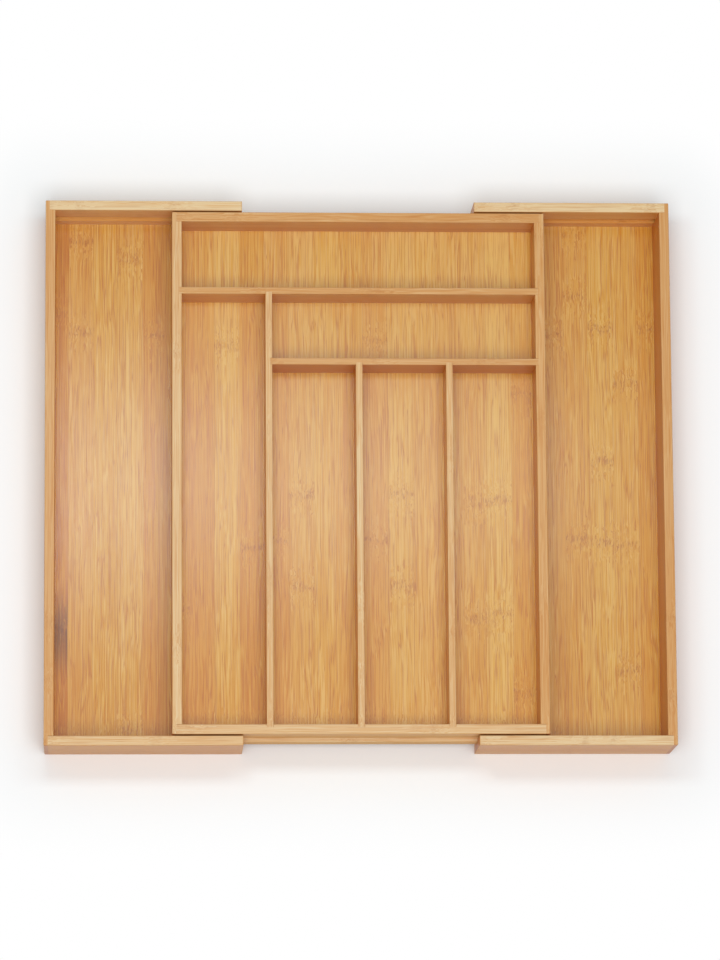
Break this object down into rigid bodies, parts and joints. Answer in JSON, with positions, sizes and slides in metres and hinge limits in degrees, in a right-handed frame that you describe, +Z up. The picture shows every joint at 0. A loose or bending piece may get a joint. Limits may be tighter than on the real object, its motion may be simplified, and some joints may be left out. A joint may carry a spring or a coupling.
{
  "type": "expandable cutlery tray",
  "caption": "Low bamboo drawer tray with divided compartments for cutlery and a wing on each side that slides out on rails to widen it.",
  "frame": {"origin": "on the surface that the tray stands on, under the middle of the tray with both wings pulled out alike", "axes": "+X to the right wing, +Y from the front to the back, +Z up"},
  "size_m": [0.513, 0.45, 0.06],
  "materials": {
    "wall_bamboo": "satin lacquer, edge grain",
    "divider_bamboo": "satin lacquer, edge grain",
    "floor_bamboo": "satin lacquer, strips with knuckles",
    "rail_bamboo": "sanded, waxed"
  },
  "bodies": {
    "centre_tray": {"centre_front_wall": "wall_bamboo", "centre_back_wall": "wall_bamboo", "centre_left_wall": "wall_bamboo", "centre_right_wall": "wall_bamboo", "centre_floor": "floor_bamboo", "back_divider": "divider_bamboo", "long_divider": "divider_bamboo", "middle_divider": "divider_bamboo", "front_divider_left": "divider_bamboo", "front_divider_right": "divider_bamboo", "front_slide_rail": "rail_bamboo", "back_slide_rail": "rail_bamboo"},
    "left_wing": {"left_wing_side_wall": "wall_bamboo", "left_wing_front_wall": "wall_bamboo", "left_wing_back_wall": "wall_bamboo", "left_wing_floor": "floor_bamboo"},
    "right_wing": {"right_wing_side_wall": "wall_bamboo", "right_wing_front_wall": "wall_bamboo", "right_wing_back_wall": "wall_bamboo", "right_wing_floor": "floor_bamboo"}
  },
  "joints": [
    {"name": "left_wing_slide", "type": "slide", "parent": "centre_tray", "child": "left_wing", "axis": [1, 0, 0], "range_m": [0, 0.095]},
    {"name": "right_wing_slide", "type": "slide", "parent": "centre_tray", "child": "right_wing", "axis": [-1, 0, 0], "range_m": [0, 0.095]}
  ]
}
